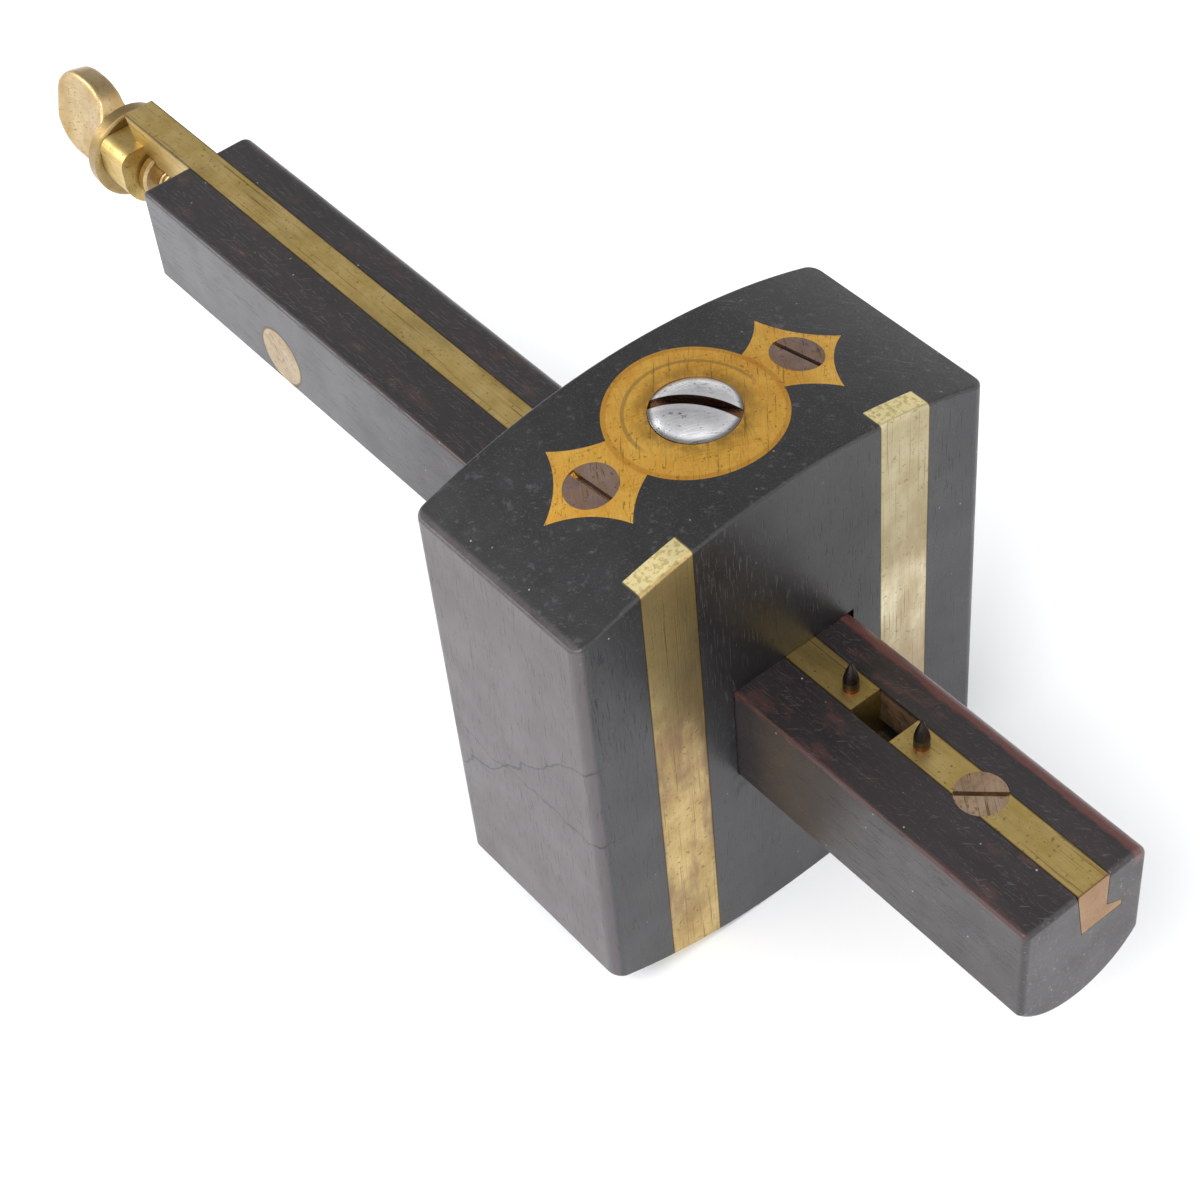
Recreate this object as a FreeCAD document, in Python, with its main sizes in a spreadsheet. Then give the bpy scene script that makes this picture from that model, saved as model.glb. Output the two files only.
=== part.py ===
import FreeCAD, Part
import math
import os
import Sketcher
from FreeCAD import Rotation, Vector

# A mortise marking gauge: an ebony head that slides along an ebony stem, two
# steel pins in brass bars let into the stem's top, and a thumbscrew at the far
# end that draws one of the bars along. Millimetres, +X along the stem towards
# the pins, +Z up. The origin is under the middle of the whole tool, on the
# surface that the head stands on.

os.makedirs("parts", exist_ok=True)
doc = FreeCAD.newDocument("marking_gauge")

# ---------------------------------------------------------------- dimensions
DIMENSIONS = [
    # places of the three planes that everything is measured from
    ("fence_x", 66.25),             # the head's front face, the fence
    ("stem_top_z", 46.9),           # top of the stem
    ("brass_y", 1.0),               # middle of the brass bars, a little off the stem's middle
    # head
    ("head_width", 65.0),
    ("head_depth", 31.5),
    ("head_height", 77.0),          # over both crowns
    ("crown_radius", 93.0),         # arched top
    ("sole_radius", 82.0),          # arched bottom
    ("head_corner", 1.8),
    ("head_arris", 0.5),
    ("wear_width", 8.3),
    ("wear_depth", 3.2),
    ("wear_y", 18.8),
    # lock plate and its screws
    ("plate_back", 16.6),           # behind the fence
    ("plate_radius", 11.5),
    ("plate_depth", 2.5),
    ("star_reach", 23.7),
    ("star_half", 8.2),
    ("star_tip_y", 16.7),
    ("star_curve", 14.0),
    ("neck_half", 3.9),
    ("plate_screw_y", 16.4),
    ("plate_screw_radius", 3.5),
    ("plate_screw_length", 14.0),
    ("bush_radius", 8.0),
    ("bush_length", 12.0),
    # lock screw and pressure pad
    ("lock_head_radius", 5.8),
    ("lock_head_depth", 5.5),
    ("lock_dome", 1.7),
    ("lock_thread_radius", 4.0),
    ("pad_radius", 5.4),
    ("pad_height", 5.0),
    ("pad_bore_radius", 5.5),
    ("pad_gap", 0.05),
    ("fit_gap", 0.06),              # running fits of the lock screw
    # stem
    ("stem_width", 20.0),
    ("stem_side", 16.0),            # flat part of the side, above the rounded underside
    ("stem_belly", 12.1),           # radius of the rounded underside
    ("stem_near", 49.9),            # ahead of the fence
    ("stem_far", 136.3),            # behind the fence
    ("arris_worn", 2.0),
    ("arris", 0.5),
    ("end_round", 0.8),
    ("mortise_gap", 0.1),
    # brass bars: a web with a spreading foot
    ("bar_width", 5.1),
    ("bar_web", 6.0),
    ("bar_depth", 8.2),
    ("bar_slant", 0.5),             # the left side slants in from here down
    ("bar_low_left", 1.4),          # the underside, left and right of the bar's middle
    ("bar_low_right", 5.2),
    ("foot_edge", 0.8),
    ("bar_gap", 0.08),
    ("fixed_start", 18.6),
    ("slide_near", 11.8),
    ("slide_far", 154.5),
    # pins and the strip's screw
    ("pin_radius", 1.05),
    ("pin_tip", 0.12),
    ("pin_stand", 4.6),
    ("pin_sunk", 6.0),
    ("fixed_pin_x", 21.7),
    ("moving_pin_x", 9.3),
    ("strip_screw_x", 31.7),
    ("strip_screw_radius", 3.35),
    ("strip_screw_length", 14.0),
    # thumbscrew and its nut
    ("screw_drop", 11.3),           # axis below the stem's top
    ("nut_x", 101.9),
    ("nut_radius", 5.1),
    ("rod_radius", 2.4),
    ("rod_bore", 2.6),
    ("rod_gap", 0.05),
    ("rod_reach", 83.0),            # tip of the rod, behind the fence
    ("bore_reach", 74.0),           # bottom of the rod's hole, behind the fence
    ("lug_far", 158.6),             # the lug stands out behind the bar's end
    ("lug_depth", 6.4),
    ("lug_half", 6.4),
    ("lug_curve", 6.5),
    ("lug_top", 5.4),               # below the stem's top
    ("lug_corner", 2.4),
    ("notch_half", 2.7),
    ("groove_gap", 0.12),
    ("collar_radius", 7.8),
    ("collar_depth", 3.0),
    ("flange_radius", 4.2),
    ("flange_depth", 1.8),
    ("neck_radius", 3.8),
    ("thumb_far", 180.5),
    ("thumb_near", 164.4),
    ("thumb_half", 7.0),
    ("thumb_thick", 4.9),
    ("waist_half", 3.7),
    ("thumb_shoulder", 166.4),
    ("shoulder_half", 5.0),
    ("thumb_wide", 175.5),
    ("thumb_corner", 9.0),
    ("thumb_waist", 2.0),
]

dims = doc.addObject("Spreadsheet::Sheet", "dims")
for row, (alias, value) in enumerate(DIMENSIONS, start=1):
    dims.set("A%d" % row, alias)
    dims.set("B%d" % row, str(value))
    dims.setAlias("B%d" % row, alias)
doc.recompute()

SIZE = dict(DIMENSIONS)


def named(formula):
    """The formula with the sheet's name put before each dimension."""
    words = []
    word = ""
    for letter in formula + " ":
        if letter.isalnum() or letter == "_":
            word += letter
            continue
        words.append("dims." + word if word in SIZE else word)
        words.append(letter)
        word = ""
    return "".join(words).strip()


def number(formula):
    """The formula's present value, in millimetres."""
    value = dims.evalExpression(named(formula))
    return float(getattr(value, "Value", value))


def bind(thing, **formulas):
    """Bind properties to formulas; a double underscore stands for a dot."""
    for name, formula in formulas.items():
        thing.setExpression(name.replace("__", "."), named(formula))


def place(thing, x="0", y="0", z="0"):
    bind(thing, Placement__Base__x=x, Placement__Base__y=y, Placement__Base__z=z)


# ------------------------------------------------------- ways of making things
def origin_plane(body, role):
    return next(f for f in body.Origin.OriginFeatures if f.Role == role)


def sketch_outline(body, role, offset, corners):
    """A closed outline on one of the body's planes, moved off it by a formula.

    Each corner is (across, up, radius, side): radius None gives a straight run
    to the next corner, and side +1 or -1 says that an arc bulges to the left or
    right of the way round. A sketch's arcs run anticlockwise, so an arc that
    bulges to the left is drawn from its far end, and its ends change places.
    """
    sketch = body.newObject("Sketcher::SketchObject", body.Name + "_outline")
    sketch.AttachmentSupport = [(origin_plane(body, role), "")]
    sketch.MapMode = "FlatFace"
    sketch.setExpression(".AttachmentOffset.Base.z", named(offset))
    points = [Vector(number(c[0]), number(c[1]), 0) for c in corners]
    ends = [(2, 1) if c[3] > 0 else (1, 2) for c in corners]
    for i, (across, up, radius, side) in enumerate(corners):
        start = points[i]
        end = points[(i + 1) % len(points)]
        if radius is None:
            sketch.addGeometry(Part.LineSegment(start, end))
            continue
        bend = number(radius)
        half = (end - start).Length / 2
        rise = bend - math.sqrt(max(bend * bend - half * half, 0.0))
        left = Vector(-(end - start).y, (end - start).x, 0).normalize()
        middle = (start + end) / 2 + left * (rise * side)
        if side > 0:
            start, end = end, start
        sketch.addGeometry(Part.Arc(start, middle, end))
    for i in range(len(corners)):
        following = (i + 1) % len(corners)
        sketch.addConstraint(Sketcher.Constraint("Coincident", i, ends[i][1], following, ends[following][0]))
    for i, (across, up, radius, side) in enumerate(corners):
        for kind, formula, value in (("DistanceX", across, points[i].x), ("DistanceY", up, points[i].y)):
            index = sketch.addConstraint(Sketcher.Constraint(kind, -1, 1, i, ends[i][0], value))
            sketch.setExpression("Constraints[%d]" % index, named(formula))
        if radius is not None:
            index = sketch.addConstraint(Sketcher.Constraint("Radius", i, number(radius)))
            sketch.setExpression("Constraints[%d]" % index, named(radius))
    return sketch


def prism(name, role, offset, length, corners):
    """A body made by padding one outline along its plane's normal."""
    body = doc.addObject("PartDesign::Body", name)
    pad = body.newObject("PartDesign::Pad", name + "_pad")
    pad.Profile = sketch_outline(body, role, offset, corners)
    bind(pad, Length=length)
    doc.recompute()
    return body


def turned(name, corners):
    """A body made by turning a half outline (radius, height) about its Z axis."""
    body = doc.addObject("PartDesign::Body", name)
    turn = body.newObject("PartDesign::Revolution", name + "_turn")
    sketch = sketch_outline(body, "XZ_Plane", "0", corners)
    turn.Profile = sketch
    turn.ReferenceAxis = (sketch, ["V_Axis"])
    turn.Angle = 360.0
    doc.recompute()
    return body


def fillet(body, radius, wanted):
    """Round the edges of which both end points pass the test."""
    base = body.Tip
    edges = []
    for i, edge in enumerate(base.Shape.Edges, start=1):
        if len(edge.Vertexes) == 2 and wanted(*[vertex.Point for vertex in edge.Vertexes]):
            edges.append("Edge%d" % i)
    rounding = body.newObject("PartDesign::Fillet", body.Name + "_fillet")
    rounding.Base = (base, edges)
    bind(rounding, Radius=radius)
    doc.recompute()


def close(a, b):
    return abs(a - b) < 1e-3


def box(name, x, y, z, length, width, height):
    block = doc.addObject("Part::Box", name)
    bind(block, Length=length, Width=width, Height=height)
    place(block, x, y, z)
    return block


def rod(name, radius, length, x, y, z, direction=Vector(0, 0, 1)):
    cylinder = doc.addObject("Part::Cylinder", name)
    bind(cylinder, Radius=radius, Height=length)
    cylinder.Placement = FreeCAD.Placement(Vector(), Rotation(Vector(0, 0, 1), direction))
    place(cylinder, x, y, z)
    return cylinder


def cut(name, base, *tools):
    """The base with every tool taken out of it."""
    tool = tools[0]
    if len(tools) > 1:
        tool = doc.addObject("Part::MultiFuse", name + "_tools")
        tool.Shapes = list(tools)
    result = doc.addObject("Part::Cut", name)
    result.Base = base
    result.Tool = tool
    return result


def fused(name, *shapes):
    result = doc.addObject("Part::MultiFuse", name)
    result.Shapes = list(shapes)
    return result


def common(name, one, other):
    result = doc.addObject("Part::Common", name)
    result.Base = one
    result.Tool = other
    return result


NODES = []


def node(thing, label=None):
    """Keep a finished piece: its label names its file."""
    thing.Label = label or thing.Name
    NODES.append(thing)
    return thing


# ------------------------------------------------------------- head: the blank
# The whole outside of the head: flat sides, arched crown and sole.
SHOULDER = "head_height - crown_radius + sqrt(crown_radius^2 - head_width^2 / 4)"
HEEL = "sole_radius - sqrt(sole_radius^2 - head_width^2 / 4)"
head_blank = prism("head_blank", "YZ_Plane", "fence_x - head_depth", "head_depth", [
    ("-head_width / 2", SHOULDER, None, 0),
    ("-head_width / 2", HEEL, "sole_radius", -1),
    ("head_width / 2", HEEL, None, 0),
    ("head_width / 2", SHOULDER, "crown_radius", -1),
])
fillet(head_blank, "head_corner", lambda a, b: close(a.x, b.x) and close(a.y, b.y))
fillet(head_blank, "head_arris",
       lambda a, b: not (close(a.x, b.x) and close(a.y, b.y)) and a.z > 40 and b.z > 40)

# ----------------------------------------------------------- head: wear strips
# Two brass bars let into the fence, from crown to sole, filed off with them.
wear_boxes = {}
for side, middle in (("left", "-wear_y"), ("right", "wear_y")):
    wear_boxes[side] = box("wear_cutter_" + side, "fence_x - wear_depth", middle + " - wear_width / 2", "0",
                           "wear_depth", "wear_width", "head_height")
    node(common("wear_strip_" + side, wear_boxes[side], head_blank))

# ------------------------------------------------------------ head: lock plate
# A ring with a four-pointed star at each end, bent to the crown and flush with it.
PLATE_X = "fence_x - plate_back"
NECK_Y = "sqrt(plate_radius^2 - neck_half^2)"
star = [
    (PLATE_X + " + neck_half", NECK_Y, "star_curve", 1),
    (PLATE_X + " + star_half", "star_tip_y", "star_curve", 1),
    (PLATE_X, "star_reach", "star_curve", 1),
    (PLATE_X + " - star_half", "star_tip_y", "star_curve", 1),
    (PLATE_X + " - neck_half", NECK_Y, "plate_radius", -1),
    (PLATE_X + " - neck_half", "-" + NECK_Y, "star_curve", 1),
    (PLATE_X + " - star_half", "-star_tip_y", "star_curve", 1),
    (PLATE_X, "-star_reach", "star_curve", 1),
    (PLATE_X + " + star_half", "-star_tip_y", "star_curve", 1),
    (PLATE_X + " + neck_half", "-" + NECK_Y, "plate_radius", -1),
]
plate_prism = prism("plate_prism", "XY_Plane", "head_height / 2", "head_height", star)
ALONG_X = Vector(1, 0, 0)
CROWN_Z = "head_height - crown_radius"
crown_outer = rod("crown_outer", "crown_radius", "head_depth", "fence_x - head_depth", "0", CROWN_Z, ALONG_X)
crown_inner = rod("crown_inner", "crown_radius - plate_depth", "head_depth",
                  "fence_x - head_depth", "0", CROWN_Z, ALONG_X)
crown_shell = cut("crown_shell", crown_outer, crown_inner)
plate_blank = common("plate_blank", plate_prism, crown_shell)

# ------------------------------------------------- head: screws for the plate
# Two countersunk wood screws, square to the crown, their heads filed flush.


def wood_screw(name, head_radius, length):
    """A slotted countersunk screw, its head's top at the origin, pointing down."""
    body = turned(name + "_turned", [
        ("0", "0", None, 0),
        ("0", "-" + length, None, 0),
        (head_radius + " * 0.42", "-" + length + " * 0.72", None, 0),
        (head_radius + " * 0.42", "-" + head_radius + " * 0.75", None, 0),
        (head_radius, "-" + head_radius + " * 0.12", None, 0),
        (head_radius, "0", None, 0),
    ])
    slot = box(name + "_slot", "-" + head_radius + " * 1.1", "-" + head_radius + " * 0.1",
               "-" + head_radius + " * 0.3", head_radius + " * 2.2", head_radius + " * 0.2", head_radius)
    return body, cut(name + "_slotted", body, slot)


def set_at(name, source, x, y, z, tilt=0.0, turn=0.0):
    """A copy of a piece, turned about its own axis, leant about X and set in its place."""
    copy = doc.addObject("App::Link", name)
    copy.LinkedObject = source
    copy.LinkTransform = False
    copy.Placement = FreeCAD.Placement(Vector(), Rotation(ALONG_X, tilt) * Rotation(Vector(0, 0, 1), turn))
    place(copy, x, y, z)
    return copy


plate_screw_solid, plate_screw = wood_screw("plate_screw", "plate_screw_radius", "plate_screw_length")
lean = math.degrees(math.asin(SIZE["plate_screw_y"] / SIZE["crown_radius"]))
screw_cutters = []
screws = []
for name, side, turn in (("near_side", -1, 4.0), ("far_side", 1, 14.0)):
    y = "%d * plate_screw_y" % side
    z = CROWN_Z + " + sqrt(crown_radius^2 - plate_screw_y^2)"
    screws.append(set_at("plate_screw_" + name, plate_screw, PLATE_X, y, z, -side * lean, turn))
    screw_cutters.append(set_at("plate_screw_hole_" + name, plate_screw_solid, PLATE_X, y, z,
                                -side * lean, turn))

# --------------------------------------------- head: bush under the lock plate
# A threaded brass boss under the plate; the lock screw's head sinks into it.
LOCK_SEAT = "head_height - lock_head_depth - 0.4"
bush_blank = rod("bush_blank", "bush_radius", "bush_length", PLATE_X, "0",
                 "head_height - plate_depth - bush_length")
head_hole = rod("lock_head_hole", "lock_head_radius + fit_gap", "head_height", PLATE_X, "0", LOCK_SEAT)
thread_hole = rod("lock_thread_hole", "lock_thread_radius + fit_gap", "head_height",
                  PLATE_X, "0", "stem_top_z")
bush_inside = fused("bush_inside", head_hole, thread_hole)
lock_bush = node(common("lock_bush", cut("bush_bored", bush_blank, bush_inside), crown_inner))
lock_plate = node(cut("lock_plate", plate_blank, head_hole, *screw_cutters))

plate_screws = node(doc.addObject("Part::Compound", "plate_screws"))
plate_screws.Links = screws

# -------------------------------------------------------------- the lock screw
# Steel, domed and slotted; its foot bears on the pad. Turned about its own axis,
# with the height of the crown as zero.
LOCK_FOOT = "head_height - stem_top_z - pad_gap - pad_height - 0.05"
lock_turned = turned("lock_turned", [
    ("0", "lock_dome", None, 0),
    ("0", "-(" + LOCK_FOOT + ")", None, 0),
    ("lock_thread_radius - 0.6", "-(" + LOCK_FOOT + ")", None, 0),
    ("lock_thread_radius", "-(" + LOCK_FOOT + ") + 0.8", None, 0),
    ("lock_thread_radius", "-lock_head_depth", None, 0),
    ("lock_head_radius", "-lock_head_depth", None, 0),
    ("lock_head_radius", "0", "(lock_head_radius^2 + lock_dome^2) / (2 * lock_dome)", -1),
])
lock_slot = box("lock_slot", "-lock_head_radius * 1.1", "-0.8", "lock_dome - 2.4",
                "lock_head_radius * 2.2", "1.6", "4")
lock_slotted = cut("lock_slotted", lock_turned, lock_slot)
lock_screw = doc.addObject("Part::Compound", "lock_screw")
lock_screw.Links = [set_at("lock_screw_set", lock_slotted, PLATE_X, "0", "head_height", 0.0, 38.0)]
node(lock_screw)

pressure_pad = node(rod("pressure_pad", "pad_radius", "pad_height", PLATE_X, "0", "stem_top_z + pad_gap"))

# ------------------------------------------------------------ sections of stem
# The stem has a flat top and sides and a rounded underside. The mortise in the
# head is the same outline, larger by the gap.


def stem_outline(gap):
    half = "stem_width / 2 + " + gap
    low = "stem_top_z - stem_side - " + gap
    return [
        ("-(" + half + ")", "stem_top_z + " + gap, None, 0),
        ("-(" + half + ")", low, "stem_belly", -1),
        (half, low, None, 0),
        (half, "stem_top_z + " + gap, None, 0),
    ]


def bar_outline(gap, top):
    """A brass bar's section, or with a gap the groove that holds it."""
    half = "(bar_width / 2 + " + gap + ")"
    inner = "(bar_low_left + " + gap + ")"
    outer = "(bar_low_right + " + gap + ")"
    low = "stem_top_z - bar_depth - " + gap
    return [
        ("brass_y - " + half, top, None, 0),
        ("brass_y - " + half, "stem_top_z - bar_slant", None, 0),
        ("brass_y - " + inner, low, None, 0),
        ("brass_y + " + outer, low, None, 0),
        ("brass_y + " + outer, "stem_top_z - bar_depth + foot_edge", None, 0),
        ("brass_y + " + half, "stem_top_z - bar_web + " + gap, None, 0),
        ("brass_y + " + half, top, None, 0),
    ]


mortise = prism("mortise", "YZ_Plane", "fence_x - head_depth - 1", "head_depth + 2",
                stem_outline("mortise_gap"))
pad_bore = rod("pad_bore", "pad_bore_radius", "head_height / 2 - 14", PLATE_X, "0", "stem_top_z - 1")

head_block = node(cut("head_block", head_blank, mortise, pad_bore, thread_hole, bush_blank, plate_blank,
                      wear_boxes["left"], wear_boxes["right"], *screw_cutters))

# ------------------------------------------------------- stem: fixed brass bar
# The bar, the pin pressed into it and the screw that holds it down.
NEAR_X = "fence_x + stem_near"
fixed_bar = prism("fixed_bar", "YZ_Plane", "fence_x + fixed_start", "stem_near - fixed_start",
                  bar_outline("0", "stem_top_z"))


def pin(name, along):
    """A steel pin pressed into its bar and filed to a rounded point."""
    solid = turned(name + "_turned", [
        ("0", "pin_stand", None, 0),
        ("0", "-pin_sunk", None, 0),
        ("pin_radius", "-pin_sunk", None, 0),
        ("pin_radius", "pin_stand * 0.35", "pin_stand * 2.4", -1),
        ("pin_tip", "pin_stand", None, 0),
    ])
    compound = doc.addObject("Part::Compound", name)
    compound.Links = [set_at(name + "_set", solid, "fence_x + " + along, "brass_y", "stem_top_z")]
    return compound


fixed_pin = node(pin("fixed_pin", "fixed_pin_x"))
moving_pin = node(pin("moving_pin", "moving_pin_x"))
strip_screw_solid, strip_screw_slotted = wood_screw(
    "strip_screw", "strip_screw_radius", "strip_screw_length")
STRIP_SCREW_X = "fence_x + strip_screw_x"
strip_hole = set_at("strip_screw_hole", strip_screw_solid, STRIP_SCREW_X, "brass_y", "stem_top_z", 0.0, 46.0)
strip_screw = doc.addObject("Part::Compound", "strip_screw")
strip_screw.Links = [set_at("strip_screw_set", strip_screw_slotted, STRIP_SCREW_X, "brass_y",
                            "stem_top_z", 0.0, 46.0)]
node(strip_screw)
fixed_strip = node(cut("fixed_strip", fixed_bar, fixed_pin, strip_hole))

# ---------------------------------------------------------------- stem: timber
AXIS_Z = "stem_top_z - screw_drop"
FAR_X = "fence_x - stem_far"
stem_blank = prism("stem_blank", "YZ_Plane", FAR_X, "stem_far + stem_near", stem_outline("0"))
top_z = number("stem_top_z")
near_x = number(NEAR_X)
far_x = number(FAR_X)
fillet(stem_blank, "arris_worn", lambda a, b: close(a.z, top_z) and close(b.z, top_z) and min(a.y, b.y) > 9)
fillet(stem_blank, "arris", lambda a, b: close(a.z, top_z) and close(b.z, top_z) and max(a.y, b.y) < -9)
for end_x in (near_x, far_x):
    fillet(stem_blank, "end_round", lambda a, b: close(a.x, end_x) and close(b.x, end_x))
groove = prism("groove", "YZ_Plane", FAR_X + " - 1", "stem_far + stem_near + 2",
               bar_outline("bar_gap", "stem_top_z + 1"))

# ------------------------------------------------------------ stem: barrel nut
# A brass cross dowel right through the stem, threaded for the thumbscrew's rod.
# Its ends are filed flush, and the groove for the bars is cut across it.
nut_blank = rod("nut_blank", "nut_radius", "stem_width", "fence_x - nut_x", "stem_width / 2", AXIS_Z,
                Vector(0, -1, 0))
nut_bore = rod("nut_bore", "rod_radius + rod_gap", "nut_radius * 4", "fence_x - nut_x - nut_radius * 2",
               "brass_y", AXIS_Z, ALONG_X)
barrel_nut = node(common("barrel_nut", cut("nut_bored", nut_blank, nut_bore, groove), stem_blank))
rod_hole = rod("rod_hole", "rod_bore", "stem_far - bore_reach + 1",
               FAR_X + " - 1", "brass_y", AXIS_Z, ALONG_X)
stem = node(cut("stem", stem_blank, groove, rod_hole, nut_blank, strip_hole))

# --------------------------------------------------------------- slide: the bar
# The same bar as the fixed one, running out past the far end, where a lug
# hangs down and forks over the groove of the thumbscrew.
SLIDE_END = "fence_x - slide_far"
slide_bar_prism = prism("slide_bar_prism", "YZ_Plane", SLIDE_END, "slide_far + slide_near",
                        bar_outline("0", "stem_top_z"))
LUG_TOP = "stem_top_z - lug_top"
LUG_END = "fence_x - lug_far"
lug = prism("lug", "YZ_Plane", LUG_END, "lug_depth", [
    ("brass_y - lug_half", LUG_TOP + " - lug_corner", None, 0),
    ("brass_y - lug_half", AXIS_Z, "lug_curve", -1),
    ("brass_y + lug_half", AXIS_Z, None, 0),
    ("brass_y + lug_half", LUG_TOP + " - lug_corner", "lug_corner", -1),
    ("brass_y + lug_half - lug_corner", LUG_TOP, None, 0),
    ("brass_y - lug_half + lug_corner", LUG_TOP, "lug_corner", -1),
])
slide_blank = fused("slide_blank", slide_bar_prism, lug)
notch_round = rod("notch_round", "notch_half", "lug_depth * 3", LUG_END + " - lug_depth", "brass_y",
                  AXIS_Z, ALONG_X)
notch = box("notch", LUG_END + " - lug_depth", "brass_y - notch_half", AXIS_Z + " - 20", "lug_depth * 3",
            "notch_half * 2", "20")
flange_room = rod("flange_room", "flange_radius + 0.2", "flange_depth + 0.5", LUG_END + " + lug_depth",
                  "brass_y", AXIS_Z, ALONG_X)
slide_bar = node(cut("slide_bar", slide_blank, notch_round, notch, flange_room, moving_pin))

# --------------------------------------------------------------- the thumbscrew
# Turned collar, groove, inner flange and rod in one with a flat spade.
# The turning is drawn standing up, its groove's middle at zero, and laid along X.
LUG_MIDDLE = LUG_END + " + lug_depth / 2"
GROOVE = "(lug_depth / 2 + groove_gap)"
thumb_turned = turned("thumb_turned", [
    ("0", "lug_far - lug_depth / 2 - rod_reach", None, 0),
    ("0", "-(thumb_near - lug_far + lug_depth / 2) - 4", None, 0),
    ("neck_radius", "-(thumb_near - lug_far + lug_depth / 2) - 4", None, 0),
    ("neck_radius", "-" + GROOVE + " - collar_depth - 1.2", None, 0),
    ("collar_radius", "-" + GROOVE + " - collar_depth + 0.4", None, 0),
    ("collar_radius", "-" + GROOVE, None, 0),
    ("rod_radius", "-" + GROOVE, None, 0),
    ("rod_radius", GROOVE, None, 0),
    ("flange_radius", GROOVE, None, 0),
    ("flange_radius", GROOVE + " + flange_depth", None, 0),
    ("rod_radius", GROOVE + " + flange_depth", None, 0),
    ("rod_radius", "lug_far - lug_depth / 2 - rod_reach", None, 0),
])
thumb_laid = doc.addObject("App::Link", "thumb_laid")
thumb_laid.LinkedObject = thumb_turned
thumb_laid.LinkTransform = False
thumb_laid.Placement = FreeCAD.Placement(Vector(), Rotation(Vector(0, 0, 1), ALONG_X))
place(thumb_laid, LUG_MIDDLE, "brass_y", AXIS_Z)
SPADE_WIDE = "fence_x - thumb_wide"
SPADE_SHOULDER = "fence_x - thumb_shoulder"
SPADE_NECK = "fence_x - thumb_near"
TIP_CURVE = "((thumb_far - thumb_wide)^2 + thumb_half^2) / (2 * (thumb_far - thumb_wide))"
spade = prism("spade", "XZ_Plane", "-thumb_thick / 2", "thumb_thick", [
    (SPADE_NECK, "waist_half", "thumb_waist", 1),
    (SPADE_SHOULDER, "shoulder_half", "thumb_corner", -1),
    (SPADE_WIDE, "thumb_half", TIP_CURVE, -1),
    (SPADE_WIDE, "-thumb_half", "thumb_corner", -1),
    (SPADE_SHOULDER, "-shoulder_half", "thumb_waist", 1),
    (SPADE_NECK, "-waist_half", None, 0),
])
spade_set = set_at("spade_set", spade, "0", "brass_y", AXIS_Z, -14.0)
thumbscrew = node(fused("thumbscrew", thumb_laid, spade_set))

# -------------------------------------------------------------------- writing
doc.recompute()
for thing in doc.Objects:
    if "Invalid" in thing.State or "Error" in thing.State:
        raise RuntimeError("%s: %s" % (thing.Name, thing.State))
for thing in NODES:
    if thing.Shape.isNull() or not thing.Shape.isValid():
        raise RuntimeError("bad shape: " + thing.Label)
    bounds = thing.Shape.BoundBox
    print("%-16s solids %d volume %9.1f  x %.1f..%.1f y %.1f..%.1f z %.1f..%.1f" % (
        thing.Label, len(thing.Shape.Solids), thing.Shape.Volume,
        bounds.XMin, bounds.XMax, bounds.YMin, bounds.YMax, bounds.ZMin, bounds.ZMax))
    thing.Shape.exportStep(os.path.join("parts", thing.Label + ".step"))
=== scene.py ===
import math

import bpy
from mathutils import Euler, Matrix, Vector


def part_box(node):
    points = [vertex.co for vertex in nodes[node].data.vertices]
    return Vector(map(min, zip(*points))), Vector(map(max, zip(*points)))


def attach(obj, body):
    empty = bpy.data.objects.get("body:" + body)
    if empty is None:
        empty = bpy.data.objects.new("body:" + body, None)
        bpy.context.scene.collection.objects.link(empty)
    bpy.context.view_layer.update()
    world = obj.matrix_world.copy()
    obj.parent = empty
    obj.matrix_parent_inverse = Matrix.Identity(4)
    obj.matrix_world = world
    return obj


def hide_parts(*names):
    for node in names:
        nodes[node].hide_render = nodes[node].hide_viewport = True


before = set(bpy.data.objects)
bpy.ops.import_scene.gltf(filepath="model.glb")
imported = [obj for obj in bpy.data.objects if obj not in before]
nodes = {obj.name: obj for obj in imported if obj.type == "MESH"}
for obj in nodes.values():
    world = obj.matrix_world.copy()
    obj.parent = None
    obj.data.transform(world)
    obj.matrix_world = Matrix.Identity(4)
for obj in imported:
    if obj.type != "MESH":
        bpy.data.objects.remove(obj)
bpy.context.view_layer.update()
MM = 0.001
FAR = 1.0  # an open end of a band: a metre off, beyond every piece

# ------------------------------------------------------------------ head block
# A block of ebony, planed flat on the fence and the sides, arched at crown and
# sole, oiled and handled for a century: near black, with open pores that run
# up and down, fine handling scratches, dust in the pores and drying cracks.


def linear(code):
    """An sRGB hex colour as linear red, green, blue and alpha."""
    channels = [int(code[i:i + 2], 16) / 255 for i in (1, 3, 5)]
    curve = [c / 12.92 if c <= 0.04045 else ((c + 0.055) / 1.055) ** 2.4 for c in channels]
    return (*curve, 1.0)


def add(tree, kind, inputs=None, pick=0, **settings):
    """Adds a node, sets it, links or fills its inputs, and returns one output."""
    made = tree.nodes.new(kind)
    for name, value in settings.items():
        setattr(made, name, value)
    for name, value in (inputs or {}).items():
        if isinstance(value, bpy.types.NodeSocket):
            tree.links.new(value, made.inputs[name])
        else:
            made.inputs[name].default_value = linear(value) if isinstance(value, str) else value
    return None if pick is None else made.outputs[pick]


def start_surface(name, **settings):
    """A new material: its tree, its surface shader and the object's coordinates."""
    material = bpy.data.materials.new(name)
    material.use_nodes = True
    tree = material.node_tree
    shader = tree.nodes["Principled BSDF"]
    for key, value in settings.items():
        shader.inputs[key.replace("_", " ")].default_value = value
    return material, tree, shader, add(tree, "ShaderNodeTexCoord", pick=3)


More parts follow.
